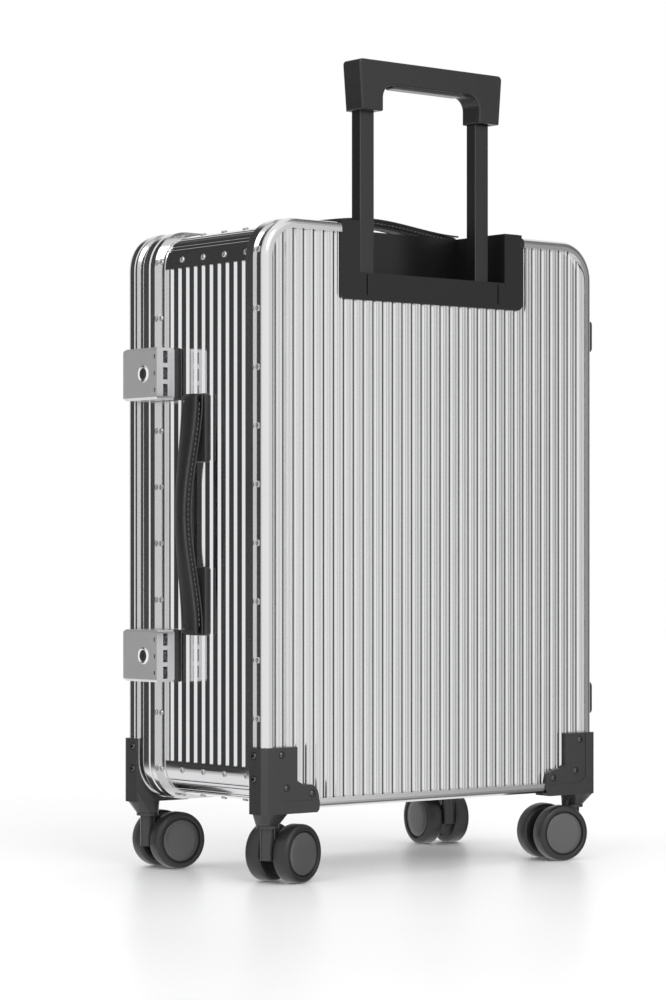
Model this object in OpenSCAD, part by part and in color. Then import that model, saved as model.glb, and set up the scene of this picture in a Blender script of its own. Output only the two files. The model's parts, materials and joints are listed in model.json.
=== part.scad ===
// Hard shell suitcase on wheels: ribbed aluminium panels in extruded frames, opening at a seam near its front.
// Millimetres. +Z is up, the lid faces -Y, the trolley is on the +Y face, the locks are on the +X side.
// The origin is on the floor, under the middle of the case.

/* [Case] */
// Width of the case over its frames
case_w = 380; // [340:1:460]
// Depth of the case from the lid's front border to the back border
case_d = 196; // [180:1:260]
// Height of the case without its wheels
case_h = 498; // [440:1:640]
// Height of the case's underside above the floor
ground_gap = 62; // [60:1:80]
// Corner radius of the case seen from the front
corner_r = 34; // [31:1:45]
// Depth of the lid, from its front border to the seam
lid_depth = 34; // [32:1:60]
// Thickness of the frame loops under their outer face
frame_t = 6.4; // [6:0.1:9]
// Width of the flat border that the frames show around the panels
border_w = 8.6; // [8:0.1:14]
// Gap between the two halves at the seam
seam_gap = 0.4; // [0.3:0.05:1]

/* [Panels] */
// Pitch of the ribs on the front and back panels
rib_pitch = 11; // [9:0.5:16]
// Pitch of the ribs on the side panels
side_rib_pitch = 11.25; // [9:0.25:16]
// Depth of the grooves between the ribs
rib_depth = 1.9; // [1:0.1:2.4]
// Thickness of the sheet under the grooves
sheet_t = 1.3; // [1:0.1:1.6]
// Thickness of the fabric lining
lining_t = 1.2; // [0.8:0.1:2]

/* [Rivets and screws] */
// Radius of a rivet's head
rivet_head_r = 2.7; // [2.2:0.1:3.2]
// Radius of a rivet's shank
rivet_r = 1.5; // [1:0.1:1.8]
// Radius of a bracket screw's head
screw_head_r = 3; // [2.5:0.1:3.4]
// Radius of a bracket screw's shank
screw_r = 1.6; // [1:0.1:2]

/* [Corner brackets] */
// Thickness of a bracket's plates
bracket_t = 2.4; // [2:0.1:4]
// Height of a bracket above the case's underside
bracket_h = 53; // [45:1:70]
// Reach of a bracket across the front or back face
bracket_reach = 58; // [50:1:80]
// Depth of a bracket on the side face
bracket_d = 20; // [19:0.5:24]
// Radius of a bracket's leg where the caster joins it
leg_r = 9.75; // [9:0.25:12]

/* [Casters] */
// Radius of a wheel
wheel_r = 25; // [20:1:26]
// Width of one wheel
wheel_w = 16; // [12:0.5:17]
// Distance between the twin wheels' middle planes
wheel_gauge = 29.6; // [29:0.2:33]
// Trail of the wheels behind the swivel axis
trail = 21.5; // [17:0.5:24]
// Radius of the wheels' axle
axle_r = 2.5; // [2:0.1:3]
// Radius of the swivel pin
king_r = 4; // [3:0.1:5]
// Place of a swivel axis in from the case's side
caster_inset_x = 13; // [11:0.5:20]
// Place of a swivel axis in from the case's front or back
caster_inset_y = 12.6; // [12:0.2:16]

/* [Locks] */
// Size of a lock along the case's depth
lock_l = 49.5; // [46:0.5:60]
// Height of a lock
lock_h = 45; // [44:0.5:60]
// Height of a lock above the frames
lock_t = 19; // [18:0.5:24]
// Reach of a lock over the lid, past the seam
lock_reach = 13; // [12:0.5:14]
// Distance of each lock from the middle of the case
lock_offset = 122; // [90:1:160]
// Radius of a number dial
dial_r = 6.4; // [5.5:0.1:6.6]
// Thickness of a number dial
dial_t = 4; // [3:0.1:4.2]
// Pitch of the three dials
dial_pitch = 14.3; // [14:0.1:15]
// Radius of the key cylinder
key_r = 5; // [4:0.1:5.5]
// Stroke of the lock's bolt
bolt_stroke = 4; // [3:0.5:4.5]

/* [Trolley] */
// Half the distance between the two trolley tubes
tube_x = 66.6; // [55:0.2:68]
// Width of the inner tube
tube_w = 15.6; // [13:0.2:16]
// Depth of the inner tube
tube_d = 11.6; // [10:0.2:12.4]
// Wall of each trolley tube
tube_wall = 1.1; // [0.9:0.1:1.3]
// Height that the handle stands above its lowest place
handle_out = 140; // [0:1:180]
// Height of the trolley grip
grip_h = 43.6; // [40:0.2:52]
// Depth of the trolley grip
grip_d = 23.4; // [20:0.2:25]
// Half the width of the trolley housing
housing_x = 105.7; // [100:0.5:115]
// Half the width of the recess that takes the grip
recess_x = 84; // [83:0.5:88]
// Depth of the recess in from the housing's face
recess_d = 64.6; // [45:0.2:66]

/* [Carry handles] */
// Length of a carry handle
strap_l = 206.5; // [180:0.5:220]
// Width of a strap at its ends
strap_w = 21.4; // [18:0.2:26]
// Width of a strap at its middle
strap_mid_w = 13.8; // [12:0.2:20]
// Thickness of a strap
strap_t = 9; // [7:0.2:10]
// Height that a strap bows out at its middle
strap_bow = 9.5; // [6:0.5:20]
// Length of a handle's end block
mount_l = 58; // [48:1:62]
// Thickness of a handle's end block
mount_t = 5.8; // [5:0.1:8]

/* [Hinges and feet] */
// Length of a hinge
hinge_l = 60; // [45:1:90]
// Radius of a hinge's knuckles
knuckle_r = 2.3; // [2.2:0.1:3]
// Radius of a hinge pin
pin_r = 1.2; // [1:0.1:1.5]
// Thickness of a hinge's leaves
leaf_t = 1.2; // [1:0.1:1.4]
// Height of a side foot above the frame
foot_t = 5.4; // [5:0.1:7]
// Length of a side foot
foot_l = 29; // [20:1:40]

/* [Hidden] */
$fn = 48;

// Clearances
eps = 0.1;         // seat between pieces of one body
run = 0.05;        // radial running clearance
slide = 0.2;       // sliding clearance on each side
gap = 0.3;         // gap between moving bodies
over = 1;          // how far a cutter passes a face

// Case datums
half_w = case_w / 2;
half_d = case_d / 2;
mid_z = ground_gap + case_h / 2;
top_z = ground_gap + case_h;
front_y = -half_d;
back_y = half_d;
seam_y = front_y + lid_depth;
body_front_y = seam_y + seam_gap / 2;
lid_back_y = seam_y - seam_gap / 2;

// Depths below the frames' outer face
panel_in = frame_t + eps;                      // crest of the ribs
panel_t = rib_depth + sheet_t;                 // whole sheet
rail_in = frame_t - 1.8;                       // outer face of the corner rails
lining_in = panel_in + panel_t + eps;          // outer face of the lining
border_recess = 4.8;                           // panels below the border's face
back_panel_y = back_y - border_recess - eps;   // crest of the back panel
panel_end_y = back_panel_y - panel_t - eps;    // where the side panels stop
seam_land = frame_t + 3;                       // depth of the frames' seam faces
seam_band = 16;                                // depth of the body's seam frame
seam_bead = 7;                                 // its raised bead
back_band = 26.5;                              // depth of the back frame
back_bead_end = 15.5;                          // its bead's back edge, from the back face
back_channel_end = 7;                          // its channel's back edge, from the back face
lid_band = 20;                                 // depth of the lid's front frame
lid_bead = 15;                                 // its raised bead
channel_in = 2;                                // depth of the channels beside the back and lid beads
seam_channel_in = 4;                           // depth of the rivet channel behind the seam
edge_r = 5;                                    // round of the border's outer edge
rails_y0 = body_front_y + seam_band + eps;
rails_y1 = back_y - back_band - eps;

// Ribs
back_rib_n = 2 * floor((half_w - border_w - 3) / rib_pitch) + 1;
side_rib_span = rails_y1 - rails_y0;
side_rib_n = floor((side_rib_span - 4) / side_rib_pitch);
side_rib_mid = (rails_y0 + rails_y1) / 2;
back_groove = [1.6, 1.3];                      // floor and slope of a groove on the front and back
side_groove = [2.4, 2.2];                      // floor and slope of a groove on the sides
back_lines = [for (s = [-1, 1]) [s * rib_pitch * 0.16, 0.45, 0.3]];  // fine lines on each rib

// Rivets
rivet_inset = 28;                              // first and last rivet in from the case's corners
rivet_rows_n = 10;
rivet_top_n = 8;
rivet_seam_y = body_front_y + seam_bead + 3.9;
rivet_back_y = back_y - (back_bead_end + back_channel_end) / 2;
rail_rivet_pitch = 30;
rail_rivet_n = floor((side_rib_span - 26) / rail_rivet_pitch) + 1;
corner_rivet_a = 11.5;                         // angle of the corner rivets round the corner's arc
rivet_head_h = 1.2;
shank_l = 2;

// Corner brackets and casters
caster_x = half_w - caster_inset_x;
caster_y = half_d - caster_inset_y;
leg_bottom = wheel_r * 2 - 0.4;                // just below the wheels' tops, which stay clear of the leg
arm_t = 2.8;                                   // bracket's arm under the case
king_l = ground_gap - leg_bottom - 1;
caster_angles = [193, -13, 175, -100];         // back left, back right, front left, front right at rest
screw_side_z = [46.3, 26.7];                   // above the case's underside
screw_side_in = 11.5;                          // in from the front or back face
screw_face = [[17.1, 46.9], [22.4, 18.8], [50.1, 13.4]];  // in from the side, above the underside
screw_head_h = 1.4;
screw_seat = 0.8;

// Locks
lock_x = half_w + gap;                         // foot of a lock
lock_y0 = seam_y - lock_reach;
lock_y1 = lock_y0 + lock_l;
lock_wall = 2;
lock_z = [mid_z + lock_offset, mid_z - lock_offset];
dial_y = lock_y1 - dial_r - 0.2;
dial_x = lock_x + lock_t / 2 + 0.2;
key_y = lock_y0 + 30;
post_r = 1.5;                                  // of the posts that carry the dials
keeper_h = 5;
keeper_w = 14;
keeper_y0 = lock_y0 + lock_wall + 1.6;
keeper_y1 = seam_y - 1.6;
keeper_wall = 2.4;
bolt_w = 5;
bolt_t = 2;
bolt_x = half_w + eps + keeper_h + gap;        // tip of the bolt, drawn back
bolt_top = bolt_x + bolt_stroke + 3;
plunger_x = bolt_top + gap;                    // foot of the key cylinder

// Trolley
tube_y = back_y - 19.5;                        // middle of the tubes
ledge_z = top_z - 41.5;
housing_z0 = top_z - 65.2;
housing_y1 = back_y - 2.4;
housing_lip = 2.5;
recess_y0 = housing_y1 - recess_d;
tub_x = housing_x - 3.2;
tub_wall = 2.4;
tub_y0 = recess_y0 - tub_wall;
tub_z0 = housing_z0 + 2.7;
tube_socket = 9;
mid_w = tube_w + 2 * slide + 2 * tube_wall;
mid_d = tube_d + 2 * slide + 2 * tube_wall;
outer_w = mid_w + 2 * slide + 2 * tube_wall;
outer_d = mid_d + 2 * slide + 2 * tube_wall;
outer_z0 = ground_gap + lining_in;
outer_z1 = tub_z0 + tube_socket;
grip_z = ledge_z + 0.5 + handle_out;
grip_x = recess_x - 1.6;
leg_in_x = tube_x - 10.8;
grip_y = tube_y + 3.4;                         // middle of the grip
grip_under = 20;                               // beam below the grip's top
button_x = 40;
button_d = 12;
button_h = 7;
button_stroke = 3;

// Carry handles
handle_y = 3.2;
strap_seat = panel_in - mount_t - eps;         // strap's foot, below the frames' outer face

// Hinges, feet and inside
hinge_x = -half_w - knuckle_r - 0.1;
leaf_w = [6.5, 12];                            // on the body and on the lid
foot_w = 20;
inner_y = tube_y - outer_d / 2 - 0.6;          // back of the body's lining
buckle = [44, 5, 34];
web_w = 25;
web_t = 1.4;

silver = "#c9cacc";
dark_silver = "#8f9194";
black_plastic = "#3a3a3c";
black_leather = "#1a1a1c";
grey_metal = "#8c8d90";
grey_fabric = "#55585c";

// ---------------------------------------------------------------- helpers

// Rounded rectangle, centred on the origin
module round_rect(w, h, r) {
  square([w - 2 * r, h], center = true);
  square([w, h - 2 * r], center = true);
  for (x = [-1, 1], y = [-1, 1])
    translate([x * (w / 2 - r), y * (h / 2 - r)])
      circle(r);
}

// Rounded plate in the XZ plane around the case's middle, from y0 to y1, inset from the outline
module case_plate(inset, y0, y1) {
  translate([0, y1, mid_z])
    rotate([90, 0, 0])
      linear_extrude(y1 - y0)
        round_rect(case_w - 2 * inset, case_h - 2 * inset, corner_r - inset);
}

// Sweeps a profile, drawn as [offset from the outline, y], around the case's rounded outline
module case_loop() {
  translate([0, 0, mid_z])
    for (k = [0 : 3]) {
      hx = (k % 2 == 0) ? half_w : case_h / 2;
      hz = (k % 2 == 0) ? case_h / 2 : half_w;
      rotate([0, 90 * k, 0]) {
        translate([hx, 0, -(hz - corner_r)])
          linear_extrude(2 * (hz - corner_r))
            children();
        translate([hx - corner_r, 0, -(hz - corner_r)])
          rotate([-90, 0, 0])
            rotate_extrude(angle = 90)
              translate([corner_r, 0])
                children();
      }
    }
}

function arc(cx, cy, r, a0, a1, n) =
  [for (i = [0 : n]) [cx + r * cos(a0 + (a1 - a0) * i / n), cy + r * sin(a0 + (a1 - a0) * i / n)]];

// Cross-section of a grooved sheet, crest at 0, with its width along x
// and with fine lines at the places in lines, each [offset from a rib's middle, half width, depth]
module grooved_section(w0, w1, n, mid, pitch, groove, lines = []) {
  polygon(concat(
    [[w0, -panel_t], [w0, 0]],
    [for (i = [0 : n - 1])
      let (u = mid + (i - (n - 1) / 2) * pitch)
      each concat(
        [[u - groove[0] / 2 - groove[1], 0], [u - groove[0] / 2, -rib_depth],
         [u + groove[0] / 2, -rib_depth], [u + groove[0] / 2 + groove[1], 0]],
        i == n - 1 ? [] : [for (line = lines)
          let (c = u + pitch / 2 + line[0])
          each [[c - line[1], 0], [c, -line[2]], [c + line[1], 0]]]
      )],
    [[w1, 0], [w1, -panel_t]]
  ));
}

// Grooved face panel, its crest facing +Y at y = 0
module face_panel() {
  intersection() {
    translate([0, 0, mid_z - case_h / 2])
      linear_extrude(case_h)
        grooved_section(-half_w, half_w, back_rib_n, 0, rib_pitch, back_groove, back_lines);
    case_plate(panel_in, -panel_t - over, over);
  }
}

module ring(r_out, r_in, h) {
  difference() {
    cylinder(r = r_out, h = h);
    translate([0, 0, -over])
      cylinder(r = r_in, h = h + 2 * over);
  }
}

// ---------------------------------------------------------------- rivets

function spaced(lo, hi, n) = [for (i = [0 : n - 1]) lo + (hi - lo) * i / (n - 1)];

side_zs = spaced(ground_gap + rivet_inset, top_z - rivet_inset, rivet_rows_n);
top_xs = spaced(-half_w + rivet_inset, half_w - rivet_inset, rivet_top_n);
inner_zs = [for (i = [1 : rivet_rows_n - 2]) side_zs[i]];
inner_xs = [for (i = [1 : rivet_top_n - 2]) top_xs[i]];
back_zs = [for (z = inner_zs) if (z > ground_gap + bracket_h + 4) z];
back_top_xs = [for (x = inner_xs) if (abs(x) > housing_x + 4) x];
back_under_xs = [for (x = inner_xs) if (abs(x) < half_w - bracket_reach - 4) x];
seam_zs = [for (z = inner_zs) if (abs(abs(z - mid_z) - lock_offset) > lock_h / 2 + 4) z];
rail_ys = [for (i = [0 : rail_rivet_n - 1]) rails_y0 + 24 + i * rail_rivet_pitch];

// Places children on both sides of the case, at heights zs and a depth below the outer face
module on_sides(y, zs, seat) {
  for (s = [-1, 1], z = zs)
    translate([s * (half_w - seat), y, z])
      rotate([0, 90 * s, 0])
        children();
}

module on_top(y, xs, seat) {
  for (x = xs)
    translate([x, y, top_z - seat])
      children();
}

module under_case(y, xs, seat) {
  for (x = xs)
    translate([x, y, ground_gap + seat])
      rotate([180, 0, 0])
        children();
}

// Places children on the rounded corners, square to the curve: zs = [0, 1] both ends, [0] the top only
module on_corners(ys, seat, zs) {
  for (sx = [0, 1], sz = zs, y = ys)
    translate([0, 0, mid_z])
      mirror([sx, 0, 0])
        mirror([0, 0, sz])
          translate([half_w - corner_r, y, case_h / 2 - corner_r])
            for (t = [corner_rivet_a, 90 - corner_rivet_a])
              rotate([0, -t, 0])
                translate([corner_r - seat, 0, 0])
                  rotate([0, 90, 0])
                    children();
}

module rivet_places() {
  on_sides(rivet_seam_y, seam_zs, seam_channel_in) children();
  on_top(rivet_seam_y, inner_xs, seam_channel_in) children();
  under_case(rivet_seam_y, inner_xs, seam_channel_in) children();
  on_corners([rivet_seam_y], seam_channel_in, [0, 1]) children();
  on_sides(rivet_back_y, back_zs, channel_in) children();
  on_top(rivet_back_y, back_top_xs, channel_in) children();
  under_case(rivet_back_y, back_under_xs, channel_in) children();
  on_corners([rivet_back_y], channel_in, [0]) children();
  on_corners(rail_ys, rail_in, [0, 1]) children();
}

// Hollow rivet with a rounded rim
module rivet() {
  rim = rivet_head_r;
  rotate_extrude()
    polygon([
      [0, -shank_l], [rivet_r, -shank_l], [rivet_r, 0], [rim, 0], [rim, 0.35], [rim - 0.25, 0.85],
      [rim - 0.75, rivet_head_h], [rim - 1.15, rivet_head_h], [rim - 1.5, 0.8], [rim - 1.6, 0.2], [0, 0.1]
    ]);
}

module rivet_hole() {
  translate([0, 0, -shank_l - eps])
    cylinder(r = rivet_r + run, h = shank_l + 2);
}

// ---------------------------------------------------------------- body shell

module back_panel() {
  color(silver)
    difference() {
      translate([0, back_panel_y, 0])
        face_panel();
      translate([-tub_x - eps, tub_y0, tub_z0 - eps])
        cube([2 * (tub_x + eps), back_y, case_h]);
    }
}

panel_tuck = 2;    // how far the flat panels run under the corner rails

// Grooved sheet with its crest at x = half_w - panel_in, facing +X
module side_sheet() {
  z0 = ground_gap + corner_r - panel_tuck;
  translate([half_w - panel_in, 0, z0])
    mirror([0, 1, 0])
      rotate([0, 0, -90])
        linear_extrude(2 * (mid_z - z0))
          grooved_section(body_front_y + 3 + eps, panel_end_y, side_rib_n, side_rib_mid,
                          side_rib_pitch, side_groove);
}

module side_panel_left() {
  color(dark_silver) side_sheet();
}

module side_panel_right() {
  color(dark_silver) mirror([1, 0, 0]) side_sheet();
}

// Top or bottom sheet with its crest at z = 0 facing +Z, grooves along X
module level_sheet() {
  x1 = half_w - corner_r + panel_tuck;
  translate([-x1, 0, 0])
    rotate([90, 0, 90])
      linear_extrude(2 * x1)
        grooved_section(body_front_y + 3 + eps, panel_end_y, side_rib_n, side_rib_mid,
                        side_rib_pitch, side_groove);
}

module top_panel() {
  color(dark_silver)
    difference() {
      translate([0, 0, top_z - panel_in])
        level_sheet();
      translate([-tub_x - eps, tub_y0 - eps, mid_z])
        cube([2 * (tub_x + eps), case_d, case_h]);
    }
}

module bottom_panel() {
  color(dark_silver)
    translate([0, 0, ground_gap + panel_in])
      mirror([0, 0, 1])
        level_sheet();
}

// Quarter-round rail with two grooves, for the corner towards +X and +Z
module corner_rail() {
  r = corner_r - rail_in;
  ri = corner_r - frame_t;
  lap = 1.5;
  translate([half_w - corner_r, rails_y1, case_h / 2 - corner_r])
    rotate([90, 0, 0])
      linear_extrude(rails_y1 - rails_y0)
        difference() {
          union() {
            intersection() {
              circle(r);
              square(r + over);
            }
            translate([0, -lap]) square([r, lap]);
            translate([-lap, 0]) square([lap, r]);
          }
          circle(ri);
          translate([-lap - over, -lap - over]) square([ri + lap + over, lap + over]);
          translate([-lap - over, -lap - over]) square([lap + over, ri + lap + over]);
          for (a = [30, 37, 53, 60])
            rotate(a)
              translate([r + 0.2, 0])
                circle(1);
        }
}

module corner_rails() {
  color(dark_silver)
    difference() {
      translate([0, 0, mid_z])
        for (sx = [0, 1], sz = [0, 1])
          mirror([sx, 0, 0])
            mirror([0, 0, sz])
              corner_rail();
      on_corners(rail_ys, rail_in, [0, 1]) rivet_hole();
    }
}

module back_frame() {
  color(silver)
    difference() {
      case_loop()
        polygon(concat(
          [[-frame_t, back_y - back_band], [-1, back_y - back_band], [0, back_y - back_band + 1],
           [0, back_y - back_bead_end], [-channel_in, back_y - back_bead_end],
           [-channel_in, back_y - back_channel_end], [0, back_y - back_channel_end + 1]],
          arc(-edge_r, back_y - edge_r, edge_r, 0, 90, 5),
          [[-border_w, back_y], [-border_w, back_y - border_recess], [-frame_t, back_y - border_recess]]
        ));
      translate([-housing_x - eps, back_y - back_band - over, mid_z])
        cube([2 * (housing_x + eps), back_band + 2 * over, case_h]);
      rivet_places() rivet_hole();
      bracket_screw_places(1) screw_hole();
    }
}

groove_in = 5;      // seal groove below the outer face
groove_w = 2;
groove_t = 2;

module body_seam_frame() {
  color(silver)
    difference() {
      case_loop()
        polygon([
          [-seam_land, body_front_y], [-groove_in - groove_w, body_front_y],
          [-groove_in - groove_w, body_front_y + groove_t], [-groove_in, body_front_y + groove_t],
          [-groove_in, body_front_y], [-0.8, body_front_y], [0, body_front_y + 1.2],
          [0, body_front_y + seam_bead], [-seam_channel_in, body_front_y + seam_bead],
          [-seam_channel_in, body_front_y + seam_band], [-frame_t, body_front_y + seam_band],
          [-frame_t, body_front_y + 3], [-seam_land, body_front_y + 3]
        ]);
      rivet_places() rivet_hole();
    }
}

module seam_gasket() {
  color(black_plastic)
    case_loop()
      translate([-groove_in - groove_w + run, body_front_y])
        square([groove_w - 2 * run, groove_t - run]);
}

module body_rivets() {
  color(silver)
    rivet_places() rivet();
}

// ---------------------------------------------------------------- corner brackets

// Curved edge of a bracket's face plate, down from its top and then out along its arm
bracket_top_edge = [[19, 0], [22, 2.6], [23.7, 7], [24.2, 12], [25.3, 17], [27.5, 22.3]];
bracket_arm_edge = [
  [17.8, 21], [8.5, 20.8], [4.1, 18.7], [1.9, 15.2], [0.8, 10.9], [0.2, 4], [0.8, -0.5], [3, -arm_t]
];
field_in = [10.5, 7.5];     // field's edges, from the case's side and underside
field_r = 10;
field_sunk = 0.6;

// Outline of a bracket's face plate: x runs in from the case's side, y above its underside
module bracket_outline() {
  t = bracket_t + eps;
  polygon(concat(
    [[-t, -arm_t], [-t, bracket_h]],
    [for (p = bracket_top_edge) [p[0], bracket_h - p[1]]],
    [[30.8, 26.8], [35.2, 23.8]],
    [for (p = bracket_arm_edge) [bracket_reach - p[0], p[1]]]
  ));
}

// Sunk field of a bracket's face plate, with a rounded inner corner
module bracket_field() {
  difference() {
    translate(field_in)
      square(bracket_reach + bracket_h);
    translate(field_in)
      difference() {
        square(field_r);
        translate([field_r, field_r]) circle(field_r);
      }
  }
}

// Bracket for the corner towards +X and +Y
module bracket() {
  outer_x = half_w + eps + bracket_t;
  outer_y = back_y + eps + bracket_t;
  boot_z = ground_gap + 7;
  round_r = 5;
  difference() {
    union() {
      translate([half_w, outer_y, ground_gap])
        rotate([90, 0, 0])
          mirror([1, 0, 0])
            linear_extrude(outer_y - back_panel_y - eps)
              bracket_outline();
      translate([half_w - corner_r, outer_y - bracket_d, ground_gap - arm_t])
        cube([corner_r + eps + bracket_t, bracket_d, bracket_h + arm_t]);
      translate([half_w - bracket_reach + 4, outer_y - bracket_d, ground_gap - arm_t])
        cube([bracket_reach - 4, bracket_d, arm_t - eps]);
      hull() {
        translate([outer_x - 25, outer_y - bracket_d, ground_gap - arm_t])
          cube([20, bracket_d, arm_t]);
        translate([outer_x - 20, outer_y - bracket_d, boot_z])
          cube([20, bracket_d, 1]);
        translate([caster_x, caster_y, leg_bottom])
          cylinder(r = leg_r, h = 1.5, $fn = 32);
      }
    }
    case_plate(-eps, -case_d, back_panel_y + eps);
    difference() {
      case_plate(-eps, back_panel_y, back_y + eps);
      case_plate(border_w + eps, back_panel_y - over, case_d);
    }
    translate([half_w, outer_y + over, ground_gap])
      rotate([90, 0, 0])
        mirror([1, 0, 0])
          linear_extrude(over + field_sunk)
            bracket_field();
    // rounded outer edge
    translate([outer_x - round_r, outer_y - round_r, 0])
      linear_extrude(mid_z)
        difference() {
          square(round_r + over);
          circle(round_r);
        }
    translate([caster_x, caster_y, leg_bottom - over])
      cylinder(r = king_r + run, h = king_l + run + over);
    corner_screw_places() screw_hole();
  }
}

// Screws of the bracket for the corner towards +X and +Y
module corner_screw_places() {
  for (z = screw_side_z)
    translate([half_w + eps + bracket_t - screw_seat, back_y - screw_side_in, ground_gap + z])
      rotate([0, 90, 0])
        children();
  for (p = screw_face)
    translate([half_w - p[0], back_y + eps + bracket_t - screw_seat, ground_gap + p[1]])
      rotate([-90, 0, 0])
        children();
}

// All screws of one face: n = 1 the back, n = -1 the lid's front
module bracket_screw_places(n) {
  for (m = [0, 1])
    mirror([m, 0, 0])
      mirror([0, n < 0 ? 1 : 0, 0])
        corner_screw_places()
          children();
}

screw_l = bracket_t + 3;

module screw() {
  difference() {
    union() {
      cylinder(r1 = screw_head_r, r2 = screw_head_r * 0.85, h = screw_head_h * 0.6);
      translate([0, 0, screw_head_h * 0.6])
        cylinder(r1 = screw_head_r * 0.85, r2 = screw_head_r * 0.5, h = screw_head_h * 0.4);
      translate([0, 0, -screw_l])
        cylinder(r = screw_r, h = screw_l + 0.2);
    }
    for (a = [0, 90])
      rotate([0, 0, a])
        translate([-0.4, -1.6, screw_head_h - 0.7])
          cube([0.8, 3.2, 1]);
  }
}

module screw_hole() {
  translate([0, 0, -screw_l - eps])
    cylinder(r = screw_r + run, h = screw_l + 3);
  cylinder(r = screw_head_r + 0.6, h = 3);
}

module back_bracket_left() {
  color(black_plastic) bracket();
}

module back_bracket_right() {
  color(black_plastic) mirror([1, 0, 0]) bracket();
}

module lid_bracket_left() {
  color(black_plastic) mirror([0, 1, 0]) bracket();
}

module lid_bracket_right() {
  color(black_plastic) mirror([1, 0, 0]) mirror([0, 1, 0]) bracket();
}

module body_screws() {
  color(black_plastic) bracket_screw_places(1) screw();
}

module lid_screws() {
  color(black_plastic) bracket_screw_places(-1) screw();
}

// ---------------------------------------------------------------- carry handles

function bow(t) = 0.5 - 0.5 * cos(360 * min(max(t, 0), 1));
strap_steps = 24;

// Strap along Z, its foot at x = 0 and bowing towards +X, centred on the origin
module strap() {
  intersection() {
    rotate([90, 0, 0])
      linear_extrude(strap_w + 2, center = true)
        polygon(concat(
          [for (i = [0 : strap_steps])
            let (t = i / strap_steps) [strap_bow * bow(t), (t - 0.5) * strap_l]],
          [for (i = [strap_steps : -1 : 0])
            let (t = i / strap_steps) [strap_bow * bow(t) + strap_t, (t - 0.5) * strap_l]]
        ));
    rotate([90, 0, 90])
      translate([0, 0, -over])
        linear_extrude(strap_bow + strap_t + 2 * over)
          polygon(concat(
            [for (i = [0 : strap_steps])
              let (t = i / strap_steps)
              [(strap_w - (strap_w - strap_mid_w) * bow(t)) / 2, (t - 0.5) * strap_l]],
            [for (i = [strap_steps : -1 : 0])
              let (t = i / strap_steps)
              [-(strap_w - (strap_w - strap_mid_w) * bow(t)) / 2, (t - 0.5) * strap_l]]
          ));
  }
}

module mounts() {
  for (s = [-1, 1])
    translate([0, 0, s * (strap_l - mount_l) / 2])
      rotate([0, 90, 0])
        linear_extrude(mount_t)
          round_rect(mount_l + 1, strap_w + 3.4, 3);
}

module at_side_handle(out) {
  translate([half_w - panel_in + out, handle_y, mid_z]) children();
}

module at_top_handle(out) {
  translate([0, handle_y, top_z - panel_in + out])
    rotate([0, -90, 0])
      children();
}

module side_handle_strap() {
  color(black_leather) at_side_handle(mount_t + 2 * eps) strap();
}

module top_handle_strap() {
  color(black_leather) at_top_handle(mount_t + 2 * eps) strap();
}

module handle_mounts() {
  color(black_plastic) {
    at_side_handle(eps) mounts();
    at_top_handle(eps) mounts();
  }
}

foot_offset = 165;  // of each side foot from the middle of the case

module body_feet() {
  color(black_plastic)
    for (s = [-1, 1])
      translate([-half_w - foot_t, back_y - 15, mid_z + s * foot_offset])
        rotate([0, 90, 0])
          linear_extrude(foot_t - eps)
            round_rect(foot_l, foot_w, 4);
}

// ---------------------------------------------------------------- trolley

module trolley_housing() {
  tub_h = top_z + housing_lip - tub_z0;
  pocket_x = recess_x + tub_wall;
  pocket_y1 = tube_y - outer_d / 2 - tub_wall;
  mark = [1.4, 1, 18];
  color(black_plastic)
    difference() {
      union() {
        translate([0, housing_y1, (housing_z0 + top_z + housing_lip) / 2])
          rotate([90, 0, 0])
            linear_extrude(housing_y1 - back_panel_y - eps)
              round_rect(2 * housing_x, top_z + housing_lip - housing_z0, 6);
        translate([-tub_x, tub_y0, tub_z0])
          cube([2 * tub_x, housing_y1 - tub_y0 - over, tub_h]);
        translate([-housing_x, tub_y0 - 2, top_z + eps])
          cube([2 * housing_x, housing_y1 - tub_y0 + 1, housing_lip - eps]);
      }
      translate([-recess_x, recess_y0, ledge_z])
        cube([2 * recess_x, case_d, case_h]);
      // hollow under the ledge, in front of the tubes, and up into the cheeks
      translate([-tub_x + tub_wall, tub_y0 + tub_wall, tub_z0 - over])
        cube([2 * (tub_x - tub_wall), pocket_y1 - tub_y0 - tub_wall, ledge_z - tub_wall - tub_z0 + over]);
      for (s = [0, 1])
        mirror([s, 0, 0])
          translate([pocket_x, tub_y0 + tub_wall, tub_z0 - over])
            cube([tub_x - tub_wall - pocket_x, pocket_y1 - tub_y0 - tub_wall, tub_h - tub_wall + over]);
      for (s = [-1, 1])
        translate([s * tube_x, tube_y, 0]) {
          translate([-mid_w / 2 - slide, -mid_d / 2 - slide, housing_z0 - over])
            cube([mid_w + 2 * slide, mid_d + 2 * slide, case_h]);
          translate([-outer_w / 2 - eps, -outer_d / 2 - eps, housing_z0 - over])
            cube([outer_w + 2 * eps, outer_d + 2 * eps, outer_z1 + eps - housing_z0 + over]);
        }
      for (s = [-1, 1])
        translate([s * (recess_x - 8) - mark[0] / 2, housing_y1 - mark[1], ledge_z - mark[2] - 1.5])
          cube([mark[0], mark[1] + over, mark[2]]);
    }
}

// Rectangular tube pair standing on z0
module tube_pair(w, d, wall, z0, z1) {
  for (s = [-1, 1])
    translate([s * tube_x, tube_y, z0])
      linear_extrude(z1 - z0)
        difference() {
          square([w, d], center = true);
          square([w - 2 * wall, d - 2 * wall], center = true);
        }
}

module trolley_outer_tubes() {
  color(grey_metal)
    tube_pair(outer_w, outer_d, tube_wall, outer_z0, outer_z1);
}

module trolley_mid_tubes() {
  color(black_plastic)
    tube_pair(mid_w, mid_d, tube_wall, outer_z0 + 6, ledge_z - 1);
}

inner_tube_l = 436;   // length of the moving inner tube below the grip
socket_l = 26;

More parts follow.
